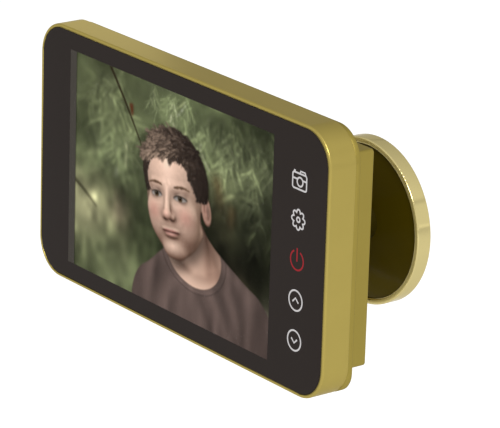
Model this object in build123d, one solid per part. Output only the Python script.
from build123d import *
import os
from math import cos, pi, sin

# Peephole door camera: a touch screen monitor that hooks on a bracket inside the door,
# a hollow bolt and a barrel through the door, and a round camera and bell unit outside.
# Millimetres. X to the right as seen from indoors, Y outdoors, Z up.
# The origin is on the barrel's axis, in the plane of the door's indoor face.

# Monitor, seen from the front
glass_width = 142.3
glass_height = 80.0
glass_corner = 10.0
glass_thickness = 1.1
glass_edge = 0.25
glass_proud = 0.1
axis_from_edge = 29.65
monitor_depth = 18.7
monitor_to_door = 2.3

# Gold frame round the glass
lip_width = 1.05
lip_rounding = 0.6
frame_depth = 9.4
frame_rear_rounding = 0.3
frame_wall = 2.0
ledge_thickness = 1.2
ledge_side = 3.6
ledge_top = 1.5
ledge_corner = 5.0
pillar_radius = 2.4
pillar_in_x = 10.5
pillar_in_z = 4.6

# Clearances shared by mating pieces
seat_gap = 0.1
slide_gap = 0.3
shaft_gap = 0.05
overrun = 5.0

# Display stack behind the glass
gasket_thickness = 0.3
gasket_width = 2.6
picture_from_left = 17.45
picture_from_right = 24.75
picture_from_top = 5.5
panel_border = 3.2
panel_border_top = 2.2
panel_gap = 0.2
panel_thickness = 1.6
backlight_thickness = 2.0
backlight_rim = 0.8
key_from_edge = 12.45
key_from_top = 15.5
key_count = 5
key_strip_width = 11.0
key_strip_end = 6.4
guide_thickness = 1.2
key_board_thickness = 0.8
led_width = 1.6
led_height = 0.8
led_depth = 0.7
led_pocket = 1.3
key_strip_corner = 1.0

# Metal plate that carries the boards
plate_thickness = 0.8
plate_gap = 0.7
plate_edge_gap = 0.5
plate_corner = 8.4
standoff_radius = 1.9
standoff_height = 1.7
flex_slot_width = 3.0
flex_slot_height = 22.0
port_notch_gap = 0.8

# Main board, from the barrel's axis
board_left = 60.0
board_right = 22.0
board_from_box_top = 3.0
board_from_frame = 3.75
board_tab_left = 52.0
board_tab_right = 12.0
board_tab_in = 2.0
board_thickness = 1.2
board_corner = 1.5
board_screw_in = 4.0
board_screw_from_top = 3.5
board_screw_head = 1.6
board_screw_head_height = 0.6
board_screw_shank = 0.8
board_screw_length = 2.8
board_drive_length = 1.8

# Parts on the front of the main board
can_width = 30.0
can_height = 24.0
can_depth = 1.4
can_wall = 0.3
can_x = -16.0
can_z = 12.0
chip_depth = 0.9
chip_side = 11.0
memory_side = 8.0
power_chip_side = 6.0
chip_spacing = 10.5
power_chip_x = -42.0
power_chip_z = 14.0
display_socket_width = 4.0
display_socket_height = 18.0
display_socket_depth = 1.3
flex_thickness = 0.3
flex_bend = 0.6
flex_width = 16.0
flex_out = 1.6
flex_in = 3.6

# Ports along the bottom edge
usb_x = -30.0
usb_width = 8.9
usb_thickness = 2.6
usb_length = 7.2
usb_wall = 0.4
usb_corner = 1.1
usb_tongue_width = 6.6
usb_tongue_thickness = 0.7
usb_tongue_length = 5.4
usb_opening_gap = 0.3
card_slot_x = -8.0
card_width = 11.0
card_thickness = 0.7
card_length = 15.0
card_slot_width = 13.0
card_slot_thickness = 1.5
card_slot_length = 15.4
card_notch = 0.7
card_notch_length = 6.0
card_cover = 0.4
card_sunk = 0.2
switch_x = -46.0
switch_width = 7.0
switch_depth = 1.4
switch_length = 3.4
knob_width = 2.6
knob_thickness = 1.1
knob_out = 0.6
knob_travel = 2.4
knob_foot = 0.6
knob_foot_depth = 0.9
microphone_x = 8.0
microphone_width = 3.6
microphone_height = 2.6
microphone_depth = 1.1
microphone_hole = 0.5

# Rear cover: a shallow band behind the frame and a raised box
band_inset = 1.0
band_depth = 2.5
band_corner = 10.0
band_low_corner = 7.0
band_rounding = 0.4
cover_wall = 1.6
cover_lip = 1.0
cover_lip_depth = 1.5
box_from_side = 3.4
box_from_top = 8.15
box_corner = 1.2
box_inside_corner = 0.6
box_rounding = 0.5
junction_rounding = 0.6
rear_screw_head = 1.9
rear_screw_head_height = 1.2
rear_screw_sunk = 0.2
rear_screw_shank = 1.0
rear_screw_bite = 2.2
cover_boss_radius = 2.4
drive_width = 0.5
drive_length = 2.2
drive_depth = 0.5

# Battery bay, its door and the battery
battery_from_box = 7.1
battery_from_top = 6.5
battery_from_axis = 48.5
battery_thickness = 4.6
battery_rounding = 1.0
bay_gap = 0.5
bay_wall = 1.0
bay_floor = 1.0
door_thickness = 1.4
door_tongue = 1.0
door_tongue_thickness = 0.6
door_margin = 1.4
door_ledge = 0.8
door_corner = 1.5
grip_width = 12.0
grip_line = 0.8
grip_pitch = 2.0
grip_count = 4
grip_depth = 0.3
grip_from_edge = 7.0
contact_width = 2.0
contact_thickness = 0.3
contact_pitch = 6.0
contact_count = 3
contact_height = 5.0

# Cable bay round the bolt's head
cable_bay_half_width = 12.5
cable_bay_top = 10.0
cable_bay_bottom = 24.0
cable_bay_depth = 7.2
cable_bay_wall = 1.2
cable_bay_corner = 3.0
socket_z = -19.5
socket_width = 10.0
socket_height = 4.0
socket_depth = 2.4
plug_depth = 2.0
plug_height = 3.6
socket_opening_gap = 0.3

# Loudspeaker
speaker_x = -34.0
speaker_radius = 10.0
speaker_depth = 4.6
speaker_rim = 1.0
speaker_ring = 1.0
speaker_gap = 0.3
speaker_ring_depth = 3.0
magnet_radius = 6.5
magnet_depth = 1.6
grille_hole = 0.7
grille_pitch = 2.6
grille_rings = 3

# Bracket on the door, its foam pad and the hooks
bracket_width = 46.0
bracket_height = 50.0
bracket_thickness = 1.2
bracket_corner = 4.0
pad_thickness = 0.8
pad_edge = 1.0
pad_hole = 6.2
bolt_hole_gap = 0.2
hook_x = 18.5
hook_top_z = 12.0
hook_bottom_z = -14.0
hook_width = 5.0
hook_thickness = 1.2
hook_height = 4.5
hook_inside = 0.2
lift_travel = 5.5
bracket_screw_from_side = 11.0
bracket_screw_from_top = 5.0
bracket_screw_hole = 2.1

# Hollow bolt and the barrel through the door
bolt_shank = 4.0
bolt_bore = 2.9
bolt_length = 14.0
bolt_head = 7.0
bolt_head_height = 2.0
bolt_slot = 1.4
bolt_slot_depth = 0.8
bolt_head_edge = 0.4
washer_radius = 7.4
washer_thickness = 0.6
barrel_radius = 5.5
barrel_bore_depth = 16.0
barrel_flange = 8.5
barrel_flange_thickness = 1.2
barrel_mouth = 0.4
door_least = 17.2

# Outdoor unit: gold ring, dark back plate and domed front
ring_radius = 25.4
ring_wall = 1.8
ring_depth = 5.1
ring_outer_rounding = 0.6
ring_inner_chamfer = 0.4
ring_far_rounding = 0.5
back_plate_sunk = 0.9
back_plate_thickness = 1.5
dome_radius = 24.6
dome_face_radius = 17.5
dome_height = 4.25
dome_wall = 1.2
dome_step = 0.3
dome_rounding = 1.0
dome_skirt = 1.4
unit_screw_z = 18.5
unit_screw_rounding = 0.5
unit_screw_head = 1.8
unit_screw_head_height = 0.7
unit_screw_shank = 0.9
unit_boss_radius = 2.2
unit_boss_above_board = 1.4
camera_board_radius = 15.0
camera_board_thickness = 1.0
camera_board_gap = 0.3
cable_hole = 3.0
board_pillar_radius = 1.6
board_pillar_x = 11.5

# Camera, infrared lamps and bell button
lens_z = 6.0
lens_barrel_radius = 4.2
lens_barrel_wall = 0.9
lens_barrel_out = 1.0
lens_rim = 0.5
front_lens_thickness = 1.6
front_lens_bulge = 0.5
rear_lens_thickness = 1.0
rear_lens_from_sensor = 0.7
sensor_side = 4.2
sensor_depth = 0.6
lamp_ring_radius = 7.6
lamp_count = 6
lamp_radius = 1.5
lamp_base = 1.75
lamp_base_depth = 0.8
lamp_out = 0.3
bell_z = -9.5
bell_radius = 4.5
bell_out = 0.8
bell_edge = 0.4
bell_dish_depth = 0.3
bell_flange = 5.2
bell_flange_thickness = 0.5
bell_travel = 0.7
light_ring_wall = 1.2
light_ring_flange = 0.6
light_ring_flange_thickness = 0.5
bell_switch_side = 4.6
bell_cap_radius = 1.6
bell_cap_depth = 0.3

# Flat cable from the camera to the monitor
cable_width = 4.2
cable_thickness = 0.8
cable_bend = 2.4

# Places along Y, worked out from the door's indoor face outwards and inwards
monitor_x = axis_from_edge - glass_width / 2
cover_rear = -monitor_to_door
glass_front = cover_rear - monitor_depth
glass_rear = glass_front + glass_thickness
lip_front = glass_front + glass_proud
frame_rear = lip_front + frame_depth
ledge_front = glass_rear + gasket_thickness
ledge_rear = ledge_front + ledge_thickness
panel_front = glass_rear + panel_gap
panel_rear = panel_front + panel_thickness
backlight_rear = panel_rear + backlight_thickness
plate_front = backlight_rear + plate_gap
plate_rear = plate_front + plate_thickness
board_front = plate_rear + standoff_height
board_rear = board_front + board_thickness
band_rear = frame_rear + band_depth
band_inside = band_rear - cover_wall
box_inside = cover_rear - cover_wall
frame_width = glass_width + 2 * (seat_gap + lip_width)
frame_height = glass_height + 2 * (seat_gap + lip_width)
frame_corner = glass_corner + lip_width
inner_width = frame_width - 2 * frame_wall
inner_height = frame_height - 2 * frame_wall
inner_corner = frame_corner - frame_wall
frame_bottom = -frame_height / 2
box_half_width = frame_width / 2 - box_from_side
box_half_height = frame_height / 2 - box_from_top
picture_width = glass_width - picture_from_left - picture_from_right
picture_height = glass_height - 2 * picture_from_top
panel_width = picture_width + 2 * panel_border
panel_height = picture_height + 2 * panel_border_top
panel_x = monitor_x + (picture_from_left - picture_from_right) / 2
key_x = axis_from_edge - key_from_edge
key_pitch = (glass_height - 2 * key_from_top) / (key_count - 1)
key_strip_height = (key_count - 1) * key_pitch + 2 * key_strip_end
guide_front = panel_front
guide_rear = guide_front + guide_thickness
pillar_x = frame_width / 2 - pillar_in_x
pillar_z = frame_height / 2 - pillar_in_z
board_top = box_half_height - board_from_box_top
board_tab_top = box_half_height - board_tab_in
board_bottom = frame_height / 2 - board_from_frame
board_screw_z = board_top - board_screw_from_top
battery_length = box_half_width - monitor_x - battery_from_box - battery_from_axis
battery_height = 2 * (box_half_height - battery_from_top)
battery_centre = -battery_from_axis - battery_length / 2
bay_inner_width = battery_length + 2 * bay_gap
bay_inner_height = battery_height + 2 * bay_gap
bay_floor_rear = board_rear + board_screw_head_height + bay_gap + bay_floor
bay_floor_front = bay_floor_rear - bay_floor
battery_front = bay_floor_rear + seat_gap
battery_rear = battery_front + battery_thickness
door_front = cover_rear - door_thickness
cable_floor_rear = cover_rear - cable_bay_depth
cable_floor_front = cable_floor_rear - cable_bay_wall
cable_bay_height = cable_bay_top + cable_bay_bottom
cable_bay_z = (cable_bay_top - cable_bay_bottom) / 2
plug_front = board_rear + socket_depth
port_low = frame_bottom + frame_wall + slide_gap
switch_low = port_low + knob_foot + slide_gap
card_y = board_front - card_slot_thickness / 2
knob_y = board_front - switch_depth / 2
rear_screw_seat = band_rear - rear_screw_sunk - rear_screw_head_height
bracket_rear = -pad_thickness
bracket_front = bracket_rear - bracket_thickness
bracket_screw_x = bracket_width / 2 - bracket_screw_from_side
bracket_screw_z = bracket_height / 2 - bracket_screw_from_top
washer_front = bracket_front - washer_thickness
bolt_head_front = washer_front - bolt_head_height
ring_front = door_least
ring_far = ring_front + ring_depth
back_plate_front = ring_front + back_plate_sunk
back_plate_rear = back_plate_front + back_plate_thickness
flange_rear = back_plate_rear + barrel_flange_thickness
camera_board_front = flange_rear + camera_board_gap
camera_board_rear = camera_board_front + camera_board_thickness
dome_face = ring_far + dome_height
dome_inside = dome_face - dome_wall
plate_radius = ring_radius - ring_wall - shaft_gap
lens_bore = lens_barrel_radius - lens_barrel_wall
light_ring_radius = bell_radius + slide_gap + light_ring_wall
bell_flange_rear = dome_inside - light_ring_flange_thickness - slide_gap
bell_flange_front = bell_flange_rear - bell_flange_thickness
bell_switch_rear = bell_flange_front - bell_travel - seat_gap
bell_switch_body_rear = bell_switch_rear - bell_cap_depth


# Shapes that every sub-part uses, all parallel to the door, from front to back along Y
def extruded(outline, front, back, x, z):
    sheet = Plane(origin=(x, back, z), x_dir=(1, 0, 0), z_dir=(0, -1, 0))
    return extrude(sheet * outline, back - front)


def plate(width, height, corner, front, back, x=0, z=0):
    return extruded(RectangleRounded(width, height, corner), front, back, x, z)


def block(width, height, front, back, x=0, z=0):
    return extruded(Rectangle(width, height), front, back, x, z)


def disc(radius, front, back, x=0, z=0):
    return extruded(Circle(radius), front, back, x, z)


def ring(radius, bore, front, back, x=0, z=0):
    return disc(radius, front, back, x, z) - disc(bore, front - overrun, back + overrun, x, z)


def turned(points):
    # points are pairs of radius and place along Y
    outline = make_face(Polyline([(radius, along, 0) for radius, along in points], close=True))
    return revolve(outline, Axis.Y)


def span_x(left, right):
    return right - left, (left + right) / 2


def corner_places(half_x, half_z, x=0, z=0):
    return [(x + side * half_x, z + rise * half_z) for side in (-1, 1) for rise in (-1, 1)]


def front_edges(solid):
    return solid.edges().group_by(Axis.Y)[0]


def rear_edges(solid):
    return solid.edges().group_by(Axis.Y)[-1]


def widest(edges):
    return max(edges, key=lambda edge: edge.bounding_box().size.X)


# A screw whose head faces outdoors, with its shank towards the glass
def rear_facing_screw(head, head_height, shank, length, head_front, x, z, drive):
    top = head_front + head_height
    screw = disc(head, head_front, top, x, z)
    screw += disc(shank, head_front - length, head_front, x, z)
    screw -= block(drive, drive_width, top - drive_depth, top + overrun, x, z)
    return screw - block(drive_width, drive, top - drive_depth, top + overrun, x, z)


# Glass, gasket and display
def make_front_glass():
    glass = plate(glass_width, glass_height, glass_corner, glass_front, glass_rear, monitor_x)
    return chamfer(front_edges(glass), glass_edge)


def make_glass_gasket():
    outer = plate(glass_width, glass_height, glass_corner, glass_rear, ledge_front, monitor_x)
    opening_width = glass_width - 2 * gasket_width
    opening_height = glass_height - 2 * gasket_width
    opening_corner = glass_corner - gasket_width
    return outer - plate(opening_width, opening_height, opening_corner,
                         glass_rear - overrun, ledge_front + overrun, monitor_x)


def make_lcd_panel():
    return block(panel_width, panel_height, panel_front, panel_rear, panel_x)


def make_backlight_unit():
    tray = plate(panel_width, panel_height, backlight_rim, panel_rear, backlight_rear, panel_x)
    tray -= block(panel_width - 2 * backlight_rim, panel_height - 2 * backlight_rim,
                  panel_rear - overrun, panel_rear + backlight_rim, panel_x)
    return tray


def key_places():
    top = (key_count - 1) / 2 * key_pitch
    return [top - number * key_pitch for number in range(key_count)]


def make_key_light_guide():
    guide = plate(key_strip_width, key_strip_height, key_strip_corner, guide_front, guide_rear, key_x)
    for z in key_places():
        guide -= disc(led_pocket, guide_front - overrun, guide_rear + overrun, key_x, z)
    return guide


def make_key_board():
    return plate(key_strip_width, key_strip_height, key_strip_corner,
                 guide_rear, guide_rear + key_board_thickness, key_x)


def make_key_leds():
    return [block(led_width, led_height, guide_rear - led_depth, guide_rear, key_x, z)
            for z in key_places()]


# The flat flex leaves the panel's right edge and turns back through the plate to the board
def make_display_flex():
    start_x = panel_x + panel_width / 2
    start_y = (panel_front + panel_rear) / 2
    end_y = board_front - display_socket_depth / 2
    turn_x = start_x + flex_out
    route = FilletPolyline(
        (start_x, start_y, 0),
        (turn_x, start_y, 0),
        (turn_x, end_y, 0),
        (turn_x - flex_in, end_y, 0),
        radius=flex_bend,
    )
    across = Plane(origin=(start_x, start_y, 0), x_dir=(0, 0, 1), z_dir=(1, 0, 0))
    return sweep(across * Rectangle(flex_width, flex_thickness), route)


# Openings that the ports need in the frame's bottom wall
def usb_opening(low, high):
    width = usb_width + 2 * usb_opening_gap
    thickness = usb_thickness + 2 * usb_opening_gap
    outline = RectangleRounded(width, thickness, usb_corner + usb_opening_gap)
    return extrude(Pos(usb_x, board_front - usb_thickness / 2, low) * outline, high - low)


def bottom_slot(width, thickness, x, y):
    return Pos(x, y, frame_bottom) * Box(width + 2 * slide_gap, thickness + 2 * slide_gap, 3 * frame_wall)


# Gold frame with the ledge that the glass sits on and four pillars for the rear screws
def make_gold_frame():
    frame = plate(frame_width, frame_height, frame_corner, lip_front, frame_rear, monitor_x)
    frame = fillet(front_edges(frame), lip_rounding)
    frame = fillet(rear_edges(frame), frame_rear_rounding)
    frame -= plate(glass_width + 2 * seat_gap, glass_height + 2 * seat_gap, glass_corner + seat_gap,
                   lip_front - overrun, ledge_front, monitor_x)
    frame -= plate(inner_width, inner_height, inner_corner, ledge_rear, frame_rear + overrun, monitor_x)
    frame -= plate(inner_width - 2 * ledge_side, inner_height - 2 * ledge_top,
                   ledge_corner, lip_front - overrun, frame_rear + overrun, monitor_x)
    for x, z in corner_places(pillar_x, pillar_z, monitor_x):
        frame += disc(pillar_radius, ledge_front, plate_front, x, z)
        frame -= disc(rear_screw_shank + shaft_gap, plate_front - rear_screw_bite - seat_gap,
                      plate_front + overrun, x, z)
    frame -= usb_opening(frame_bottom - overrun, frame_bottom + frame_wall + overrun)
    frame -= bottom_slot(card_width, card_thickness, card_slot_x, card_y)
    frame -= bottom_slot(knob_width + knob_travel, knob_thickness, switch_x + knob_travel / 2, knob_y)
    sound_hole = Cylinder(microphone_hole, 3 * frame_wall)
    frame -= Pos(microphone_x, board_front - microphone_depth / 2, frame_bottom) * sound_hole
    return frame


# Metal plate behind the display, with standoffs for the main board
def make_midframe_plate():
    carrier = plate(inner_width - 2 * plate_edge_gap, inner_height - 2 * plate_edge_gap, plate_corner,
                    plate_front, plate_rear, monitor_x)
    for x, z in corner_places(pillar_x, pillar_z, monitor_x):
        carrier -= disc(rear_screw_shank + shaft_gap, plate_front - overrun, plate_rear + overrun, x, z)
    for x, z in board_screw_places():
        carrier += disc(standoff_radius, plate_rear, board_front, x, z)
        carrier -= disc(board_screw_shank + shaft_gap, plate_front - overrun, board_front + overrun, x, z)
    flex_x = panel_x + panel_width / 2 + flex_out
    carrier -= block(flex_slot_width, flex_slot_height, plate_front - overrun, plate_rear + overrun, flex_x)
    notch_height = usb_length + port_notch_gap + plate_edge_gap
    notch_z = port_low - plate_edge_gap + notch_height / 2
    carrier -= block(usb_width + 2 * port_notch_gap, notch_height,
                     plate_front - overrun, plate_rear + overrun, usb_x, notch_z)
    return carrier


def board_screw_places():
    half_x = (board_left + board_right) / 2 - board_screw_in
    middle_x = (board_right - board_left) / 2
    return corner_places(half_x, board_screw_z, middle_x)


# Main board: a rectangle with a lower tab for the ports
def make_main_board():
    width, middle_x = span_x(-board_left, board_right)
    height = board_top + board_tab_top
    board = plate(width, height, board_corner, board_front, board_rear,
                  middle_x, (board_top - board_tab_top) / 2)
    tab_width, tab_x = span_x(-board_tab_left, board_tab_right)
    tab_height = board_bottom - board_tab_top + board_corner
    board += block(tab_width, tab_height, board_front, board_rear,
                   tab_x, -board_bottom + tab_height / 2)
    for x, z in board_screw_places():
        board -= disc(board_screw_shank + shaft_gap, board_front - overrun, board_rear + overrun, x, z)
    return board


def make_board_screws():
    return [rear_facing_screw(board_screw_head, board_screw_head_height, board_screw_shank,
                              board_screw_length, board_rear, x, z, board_drive_length)
            for x, z in board_screw_places()]


def make_board_chips():
    front = board_front - chip_depth
    processor = block(chip_side, chip_side, front, board_front, can_x - chip_spacing / 2, can_z)
    memory = block(memory_side, memory_side, front, board_front, can_x + chip_spacing / 2 + can_wall, can_z)
    power = block(power_chip_side, power_chip_side, front, board_front, power_chip_x, power_chip_z)
    return [processor, memory, power]


def make_shield_can():
    can = block(can_width, can_height, board_front - can_depth, board_front, can_x, can_z)
    can -= block(can_width - 2 * can_wall, can_height - 2 * can_wall,
                 board_front - can_depth + can_wall, board_front + overrun, can_x, can_z)
    return can


def make_display_socket():
    end_x = panel_x + panel_width / 2 + flex_out - flex_in
    return block(display_socket_width, display_socket_height, board_front - display_socket_depth,
                 board_front, end_x - display_socket_width / 2)


# Charging port: a metal shell with a tongue, its mouth at the frame's bottom wall
def make_usb_port():
    y = board_front - usb_thickness / 2
    outline = RectangleRounded(usb_width, usb_thickness, usb_corner)
    shell = extrude(Pos(usb_x, y, port_low) * outline, usb_length)
    cavity = RectangleRounded(usb_width - 2 * usb_wall, usb_thickness - 2 * usb_wall, usb_corner - usb_wall)
    shell -= extrude(Pos(usb_x, y, port_low - overrun) * cavity, usb_length - usb_wall + overrun)
    tongue_top = port_low + usb_length - usb_wall
    tongue = Box(usb_tongue_width, usb_tongue_thickness, usb_tongue_length)
    shell += Pos(usb_x, y, tongue_top - usb_tongue_length / 2) * tongue
    return shell


def make_card_slot():
    y = board_front - card_slot_thickness / 2
    body = Box(card_slot_width, card_slot_thickness, card_slot_length)
    slot = Pos(card_slot_x, y, port_low + card_slot_length / 2) * body
    room = Box(card_width + 2 * seat_gap, card_thickness + 2 * seat_gap, card_slot_length)
    slot -= Pos(card_slot_x, card_y, port_low + card_slot_length / 2 - card_cover) * room
    return slot


def make_memory_card():
    body = Box(card_width, card_thickness, card_length)
    middle_z = frame_bottom + card_sunk + card_length / 2
    card = Pos(card_slot_x, card_y, middle_z) * body
    notch = Box(2 * card_notch, 2 * card_thickness, card_notch_length)
    card -= Pos(card_slot_x + card_width / 2, card_y, middle_z + card_length / 2) * notch
    return card


def make_switch_body():
    return Pos(switch_x + knob_travel / 2, board_front - switch_depth / 2, switch_low + switch_length / 2) * \
        Box(switch_width, switch_depth, switch_length)


def make_power_knob():
    low = frame_bottom - knob_out
    foot_high = switch_low - slide_gap
    stem = Pos(switch_x, knob_y, (low + foot_high) / 2) * Box(knob_width, knob_thickness, foot_high - low)
    foot = Box(knob_width + 2 * knob_foot, knob_foot_depth, knob_foot)
    return stem + Pos(switch_x, knob_y, foot_high - knob_foot / 2) * foot


def make_microphone():
    body = Box(microphone_width, microphone_depth, microphone_height)
    return Pos(microphone_x, board_front - microphone_depth / 2, port_low + microphone_height / 2) * body


# Rear cover: its closed outer shape, also used for the battery door's rounded edge
def cover_outside():
    band_width = frame_width - 2 * band_inset
    band_height = frame_height - 2 * band_inset
    shape = plate(band_width, band_height, band_corner, frame_rear, band_rear, monitor_x)
    shape += plate(band_width, band_height / 2, band_low_corner, frame_rear, band_rear,
                   monitor_x, -band_height / 4)
    shape = fillet(rear_edges(shape), band_rounding)
    box = plate(2 * box_half_width, 2 * box_half_height, box_corner, band_inside, cover_rear, monitor_x)
    shape += fillet(rear_edges(box), box_rounding)
    junction = [edge for edge in shape.edges()
                if abs(edge.center().Y - band_rear) < seat_gap
                and abs(edge.bounding_box().size.Y) < seat_gap
                and abs(edge.center().Z) <= box_half_height + seat_gap
                and abs(edge.center().X - monitor_x) <= box_half_width + seat_gap]
    return fillet(junction, junction_rounding)


def battery_opening(front, rear):
    return plate(bay_inner_width, bay_inner_height, door_corner, front, rear, battery_centre)


# A blank for the battery door: narrow at the rear, with a wider base under the cover's lips
def door_blank(gap):
    tongue_rear = door_front + door_tongue_thickness + gap
    low = -box_half_height - overrun
    top = bay_inner_height / 2 + door_margin
    face_width = bay_inner_width + 2 * door_margin
    face_height = top + gap - low
    blank = block(face_width + 2 * gap, face_height, door_front - gap,
                  cover_rear + overrun, battery_centre, low + face_height / 2)
    base_height = top + door_tongue + gap - low
    blank += block(face_width + 2 * door_tongue + 2 * gap, base_height, door_front - gap,
                   tongue_rear, battery_centre, low + base_height / 2)
    return blank


def make_rear_cover():
    cover = cover_outside()
    lip_width_x = inner_width - 2 * seat_gap
    lip_height_z = inner_height - 2 * seat_gap
    lip = plate(lip_width_x, lip_height_z, inner_corner - seat_gap, frame_rear - cover_lip_depth,
                frame_rear, monitor_x)
    hollow_width = lip_width_x - 2 * cover_lip
    hollow_height = lip_height_z - 2 * cover_lip
    hollow_corner = inner_corner - seat_gap - cover_lip
    cover += lip
    cover -= plate(hollow_width, hollow_height, hollow_corner, frame_rear - cover_lip_depth - overrun,
                   band_inside, monitor_x)
    cavity = plate(2 * (box_half_width - cover_wall), 2 * (box_half_height - cover_wall),
                   box_inside_corner, band_inside - overrun, box_inside, monitor_x)
    cover -= cavity
    cover += cavity & inner_walls()
    cover -= inner_rooms()
    for x, z in corner_places(pillar_x, pillar_z, monitor_x):
        cover += disc(cover_boss_radius, plate_rear, band_rear - cover_wall / 2, x, z)
        cover -= disc(rear_screw_shank + shaft_gap, plate_rear - overrun, band_rear + overrun, x, z)
        cover -= disc(rear_screw_head + seat_gap, rear_screw_seat, band_rear + overrun, x, z)
    tab_width, tab_x = span_x(-board_tab_left - port_notch_gap, board_tab_right + port_notch_gap)
    cover -= block(tab_width, 2 * (cover_lip + seat_gap) + frame_wall, frame_rear - cover_lip_depth - overrun,
                   frame_rear, tab_x, frame_bottom + frame_wall)
    return cover


# Walls and floors that stand inside the box, still whole
def inner_walls():
    walls = plate(bay_inner_width + 2 * bay_wall, bay_inner_height + 2 * bay_wall, door_corner + bay_wall,
                  bay_floor_front, box_inside, battery_centre)
    ledge_width = bay_inner_width + 2 * (door_margin + door_tongue + bay_wall)
    ledge_low = -box_half_height
    ledge_high = bay_inner_height / 2 + door_margin + door_tongue + bay_wall
    walls += block(ledge_width, ledge_high - ledge_low, door_front - seat_gap - door_ledge, box_inside,
                   battery_centre, (ledge_high + ledge_low) / 2)
    walls += plate(2 * (cable_bay_half_width + cable_bay_wall), cable_bay_height + 2 * cable_bay_wall,
                   cable_bay_corner + cable_bay_wall, cable_floor_front, box_inside, 0, cable_bay_z)
    walls += ring(speaker_radius + speaker_gap + speaker_ring, speaker_radius + speaker_gap,
                  box_inside - speaker_ring_depth, box_inside, speaker_x)
    return walls


# Everything cut out of the rear cover for what it holds
def inner_rooms():
    rooms = battery_opening(bay_floor_rear, cover_rear + overrun)
    rooms += door_blank(seat_gap)
    rooms += plate(2 * cable_bay_half_width, cable_bay_height, cable_bay_corner,
                   cable_floor_rear, cover_rear + overrun, 0, cable_bay_z)
    rooms += block(socket_width + 2 * socket_opening_gap, socket_height + 2 * socket_opening_gap,
                   cable_floor_front - overrun, cover_rear, 0, socket_z)
    for x, z in contact_places():
        rooms += block(contact_thickness + 2 * seat_gap, contact_width + 2 * seat_gap,
                       bay_floor_front - overrun, bay_floor_rear + overrun, x, z)
    for x, z in hook_places():
        slot_top = z + hook_thickness / 2 + slide_gap
        slot_height = hook_thickness + lift_travel + 2 * slide_gap
        rooms += block(hook_width + 2 * slide_gap, slot_height, box_inside - overrun,
                       cover_rear + overrun, x, slot_top - slot_height / 2)
    for x, z in grille_places():
        rooms += disc(grille_hole, box_inside - seat_gap, cover_rear + overrun, x, z)
    return rooms


def grille_places():
    places = [(speaker_x, 0)]
    for number in range(1, grille_rings + 1):
        count = 6 * number
        for step in range(count):
            angle = 2 * pi * step / count
            away = number * grille_pitch
            places.append((speaker_x + away * cos(angle), away * sin(angle)))
    return places


def contact_places():
    x = battery_centre + (battery_length + bay_gap) / 2
    return [(x, (number - (contact_count - 1) / 2) * contact_pitch) for number in range(contact_count)]


def hook_places():
    return [(side * hook_x, z) for side in (-1, 1) for z in (hook_top_z, hook_bottom_z)]


def make_rear_screws():
    length = rear_screw_seat - (plate_front - rear_screw_bite)
    return [rear_facing_screw(rear_screw_head, rear_screw_head_height, rear_screw_shank, length,
                              rear_screw_seat, x, z, drive_length)
            for x, z in corner_places(pillar_x, pillar_z, monitor_x)]


# Battery, its contacts and the sliding door
def make_battery_pack():
    pack = block(battery_length, battery_height, battery_front, battery_rear, battery_centre)
    return fillet(pack.edges(), battery_rounding)


def make_battery_contacts():
    return [block(contact_thickness, contact_width, board_rear, board_rear + contact_height, x, z)
            for x, z in contact_places()]


def make_battery_door():
    door = door_blank(0) & cover_outside()
    grip_z = -box_half_height + grip_from_edge
    for number in range(grip_count):
        z = grip_z + number * grip_pitch
        door -= block(grip_width, grip_line, cover_rear - grip_depth, cover_rear + overrun, battery_centre, z)
    return door


# Loudspeaker: a shallow can with its magnet behind, facing the grille
def make_speaker():
    front = box_inside - speaker_depth
    magnet = disc(magnet_radius, front, front + magnet_depth, speaker_x)
    basket = disc(speaker_radius, front + magnet_depth, box_inside, speaker_x)
    basket -= disc(speaker_radius - speaker_rim, box_inside - speaker_rim, box_inside + overrun, speaker_x)
    return magnet + basket


def make_camera_socket():
    return block(socket_width, socket_height, board_rear, board_rear + socket_depth, 0, socket_z)


# Bracket: a steel plate with four hooks that point up, and its foam pad
def make_door_bracket():
    bracket = plate(bracket_width, bracket_height, bracket_corner, bracket_front, bracket_rear)
    hook_rear = box_inside - hook_inside
    hook_front = hook_rear - hook_thickness
    for x, z in hook_places():
        neck = block(hook_width, hook_thickness, hook_front, bracket_front, x, z)
        leg_height = hook_thickness + hook_height
        leg = block(hook_width, leg_height, hook_front, hook_rear, x, z - hook_thickness / 2 + leg_height / 2)
        bracket += neck + leg
    bracket -= disc(bolt_shank + bolt_hole_gap, bracket_front - overrun, bracket_rear + overrun)
    for x, z in corner_places(bracket_screw_x, bracket_screw_z):
        bracket -= disc(bracket_screw_hole, bracket_front - overrun, bracket_rear + overrun, x, z)
    return bracket


def make_bracket_pad():
    pad = plate(bracket_width - 2 * pad_edge, bracket_height - 2 * pad_edge, bracket_corner - pad_edge,
                bracket_rear, 0)
    pad -= disc(pad_hole, bracket_rear - overrun, overrun)
    for x, z in corner_places(bracket_screw_x, bracket_screw_z):
        pad -= disc(bracket_screw_hole + bolt_hole_gap, bracket_rear - overrun, overrun, x, z)
    return pad


def make_bolt_washer():
    return ring(washer_radius, bolt_shank + bolt_hole_gap, washer_front, bracket_front)


# Hollow bolt: a slotted head indoors, a shank in the barrel and a bore for the cable
def make_hollow_bolt():
    bolt = disc(bolt_head, bolt_head_front, washer_front)
    bolt = chamfer(front_edges(bolt), bolt_head_edge)
    bolt += disc(bolt_shank, washer_front, bolt_length)
    bolt -= disc(bolt_bore, bolt_head_front - overrun, bolt_length + overrun)
    slot_floor = bolt_head_front + bolt_slot_depth
    return bolt - block(2 * bolt_head + overrun, bolt_slot, bolt_head_front - overrun, slot_floor)


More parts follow.
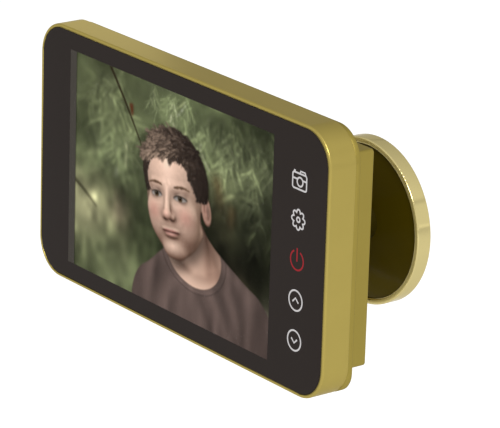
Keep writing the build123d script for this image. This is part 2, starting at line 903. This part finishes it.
def make_threaded_barrel():
    barrel = disc(barrel_radius, 0, back_plate_rear)
    barrel = chamfer(front_edges(barrel), barrel_mouth)
    barrel += disc(barrel_flange, back_plate_rear, flange_rear)
    barrel -= disc(bolt_shank + shaft_gap, -overrun, barrel_bore_depth)
    barrel -= disc(bolt_bore, -overrun, flange_rear + overrun)
    return barrel


# Outdoor unit: ring, back plate, dome and what they hold
def make_outdoor_ring():
    inner = ring_radius - ring_wall
    outline = make_face(Polyline(
        (inner, ring_far, 0),
        (inner, ring_front + ring_inner_chamfer, 0),
        (inner + ring_inner_chamfer, ring_front, 0),
        (ring_radius, ring_front, 0),
        (ring_radius, ring_far, 0),
        close=True,
    ))
    body = revolve(outline, Axis.Y)
    body = fillet(widest(front_edges(body)), ring_outer_rounding)
    return fillet(widest(rear_edges(body)), ring_far_rounding)


def unit_screw_places():
    return [(0, side * unit_screw_z) for side in (-1, 1)]


def make_outdoor_back_plate():
    back = disc(plate_radius, back_plate_front, back_plate_rear)
    back -= disc(barrel_radius + shaft_gap, back_plate_front - overrun, back_plate_rear + overrun)
    for x, z in unit_screw_places():
        back -= disc(unit_screw_shank + shaft_gap,
                     back_plate_front - overrun, back_plate_rear + overrun, x, z)
    return back


def make_outdoor_screws():
    screws = []
    for x, z in unit_screw_places():
        head = disc(unit_screw_head, back_plate_front - unit_screw_head_height, back_plate_front, x, z)
        head = fillet(front_edges(head), unit_screw_rounding)
        head -= block(drive_length, drive_width, back_plate_front - unit_screw_head_height - overrun,
                      back_plate_front - unit_screw_head_height + drive_depth, x, z)
        screws.append(head + disc(unit_screw_shank, back_plate_front, camera_board_rear, x, z))
    return screws


def make_outdoor_dome():
    dome = turned([
        (0, ring_far + dome_step),
        (dome_radius, ring_far + dome_step),
        (dome_face_radius, dome_face),
        (0, dome_face),
    ])
    dome = fillet(rear_edges(dome), dome_rounding)
    dome += disc(dome_radius, ring_far, ring_far + dome_step)
    dome += disc(plate_radius, back_plate_rear, ring_far)
    inside = turned([
        (0, back_plate_rear - overrun),
        (plate_radius - dome_skirt, back_plate_rear - overrun),
        (plate_radius - dome_skirt, ring_far),
        (dome_face_radius - dome_wall, dome_inside),
        (0, dome_inside),
    ])
    dome -= inside
    boss_rear = camera_board_rear + unit_boss_above_board
    for x, z in unit_screw_places():
        dome += disc(unit_boss_radius, back_plate_rear, boss_rear, x, z)
        dome -= disc(unit_screw_shank + shaft_gap,
                     back_plate_rear - overrun, camera_board_rear + seat_gap, x, z)
    for x in (-board_pillar_x, board_pillar_x):
        dome += disc(board_pillar_radius, camera_board_rear, dome_inside, x, 0)
    dome -= disc(lens_barrel_radius + seat_gap, dome_inside - overrun, dome_face + overrun, 0, lens_z)
    dome -= disc(light_ring_radius + seat_gap, dome_inside - overrun, dome_face + overrun, 0, bell_z)
    for x, z in lamp_places():
        dome -= disc(lamp_radius + seat_gap, dome_inside - overrun, dome_face + overrun, x, z)
    return dome


def make_camera_board():
    board = disc(camera_board_radius, camera_board_front, camera_board_rear)
    board -= disc(cable_hole, camera_board_front - overrun, camera_board_rear + overrun)
    return board


def make_image_sensor():
    return block(sensor_side, sensor_side, camera_board_rear, camera_board_rear + sensor_depth, 0, lens_z)


def make_lens_barrel():
    out = dome_face + lens_barrel_out
    barrel = disc(lens_barrel_radius, camera_board_rear, out, 0, lens_z)
    barrel = chamfer(rear_edges(barrel), lens_rim)
    barrel -= disc(lens_bore, camera_board_rear - overrun, out + overrun, 0, lens_z)
    return barrel


def make_front_lens():
    seat = dome_face + lens_barrel_out - lens_rim
    lens = disc(lens_bore - shaft_gap, seat - front_lens_thickness, seat, 0, lens_z)
    return lens + lens_cap(lens_bore - shaft_gap, front_lens_bulge, seat)


# A shallow spherical cap on a lens
def lens_cap(radius, height, base):
    sphere_radius = (radius ** 2 + height ** 2) / (2 * height)
    ball = Pos(0, base + height - sphere_radius, lens_z) * Sphere(sphere_radius)
    return ball & disc(radius, base, base + 2 * height, 0, lens_z)


def make_rear_lens():
    front = camera_board_rear + sensor_depth + rear_lens_from_sensor
    return disc(lens_bore - shaft_gap, front, front + rear_lens_thickness, 0, lens_z)


def lamp_places():
    return [(lamp_ring_radius * cos(2 * pi * step / lamp_count),
             lens_z + lamp_ring_radius * sin(2 * pi * step / lamp_count)) for step in range(lamp_count)]


def make_infrared_lamps():
    lamps = []
    for x, z in lamp_places():
        base = disc(lamp_base, camera_board_rear, camera_board_rear + lamp_base_depth, x, z)
        body = disc(lamp_radius, camera_board_rear + lamp_base_depth, dome_face + lamp_out, x, z)
        lamps.append(base + fillet(rear_edges(body), lamp_radius - seat_gap))
    return lamps


# Bell button with its light ring and switch
def make_bell_button():
    out = dome_face + bell_out
    button = disc(bell_radius, bell_flange_front, out, 0, bell_z)
    button = fillet(rear_edges(button), bell_edge)
    button -= button_dish(out)
    return button + disc(bell_flange, bell_flange_front, bell_flange_rear, 0, bell_z)


# A shallow dish pressed into the button's face
def button_dish(face):
    radius = bell_radius - 2 * bell_edge
    sphere_radius = (radius ** 2 + bell_dish_depth ** 2) / (2 * bell_dish_depth)
    return Pos(0, face + sphere_radius - bell_dish_depth, bell_z) * Sphere(sphere_radius)


def make_light_ring():
    bore = bell_radius + slide_gap
    collar = ring(light_ring_radius, bore, dome_inside, dome_face, 0, bell_z)
    flange = ring(light_ring_radius + light_ring_flange, bore,
                  dome_inside - light_ring_flange_thickness, dome_inside, 0, bell_z)
    return collar + flange


def make_bell_switch():
    body = block(bell_switch_side, bell_switch_side, camera_board_rear, bell_switch_body_rear, 0, bell_z)
    return body + disc(bell_cap_radius, bell_switch_body_rear, bell_switch_rear, 0, bell_z)


# Flat cable: a straight run through the bolt, and slack that turns down to the plug
def make_camera_cable():
    return block(cable_width, cable_thickness, bolt_head_front, camera_board_front)


def make_cable_slack():
    plug_top = socket_z + plug_height / 2
    plug_y = plug_front + plug_depth / 2
    route = FilletPolyline(
        (0, plug_y, plug_top),
        (0, plug_y, 0),
        (0, bolt_head_front, 0),
        radius=cable_bend,
    )
    across = Plane(origin=(0, plug_y, plug_top), x_dir=(1, 0, 0), z_dir=(0, 0, 1))
    return sweep(across * Rectangle(cable_width, cable_thickness), route)


def make_camera_plug():
    return block(socket_width, plug_height, plug_front, plug_front + plug_depth, 0, socket_z)


nodes = {
    "front_glass": make_front_glass,
    "glass_gasket": make_glass_gasket,
    "gold_frame": make_gold_frame,
    "lcd_panel": make_lcd_panel,
    "backlight_unit": make_backlight_unit,
    "display_flex": make_display_flex,
    "display_socket": make_display_socket,
    "key_light_guide": make_key_light_guide,
    "key_board": make_key_board,
    "key_leds": make_key_leds,
    "midframe_plate": make_midframe_plate,
    "main_board": make_main_board,
    "board_screws": make_board_screws,
    "board_chips": make_board_chips,
    "shield_can": make_shield_can,
    "usb_port": make_usb_port,
    "card_slot": make_card_slot,
    "memory_card": make_memory_card,
    "switch_body": make_switch_body,
    "power_knob": make_power_knob,
    "microphone": make_microphone,
    "speaker": make_speaker,
    "camera_socket": make_camera_socket,
    "battery_pack": make_battery_pack,
    "battery_contacts": make_battery_contacts,
    "rear_cover": make_rear_cover,
    "rear_screws": make_rear_screws,
    "battery_door": make_battery_door,
    "door_bracket": make_door_bracket,
    "bracket_pad": make_bracket_pad,
    "bolt_washer": make_bolt_washer,
    "hollow_bolt": make_hollow_bolt,
    "threaded_barrel": make_threaded_barrel,
    "outdoor_ring": make_outdoor_ring,
    "outdoor_back_plate": make_outdoor_back_plate,
    "outdoor_screws": make_outdoor_screws,
    "outdoor_dome": make_outdoor_dome,
    "camera_board": make_camera_board,
    "image_sensor": make_image_sensor,
    "lens_barrel": make_lens_barrel,
    "front_lens": make_front_lens,
    "rear_lens": make_rear_lens,
    "infrared_lamps": make_infrared_lamps,
    "light_ring": make_light_ring,
    "bell_button": make_bell_button,
    "bell_switch": make_bell_switch,
    "camera_cable": make_camera_cable,
    "cable_slack": make_cable_slack,
    "camera_plug": make_camera_plug,
}

os.makedirs("parts", exist_ok=True)
for name, make in nodes.items():
    made = make()
    pieces = made if isinstance(made, list) else [made]
    solids = [solid for piece in pieces for solid in piece.solids()]
    shape = solids[0] if len(solids) == 1 else Compound(solids)
    export_step(shape, f"parts/{name}.step")
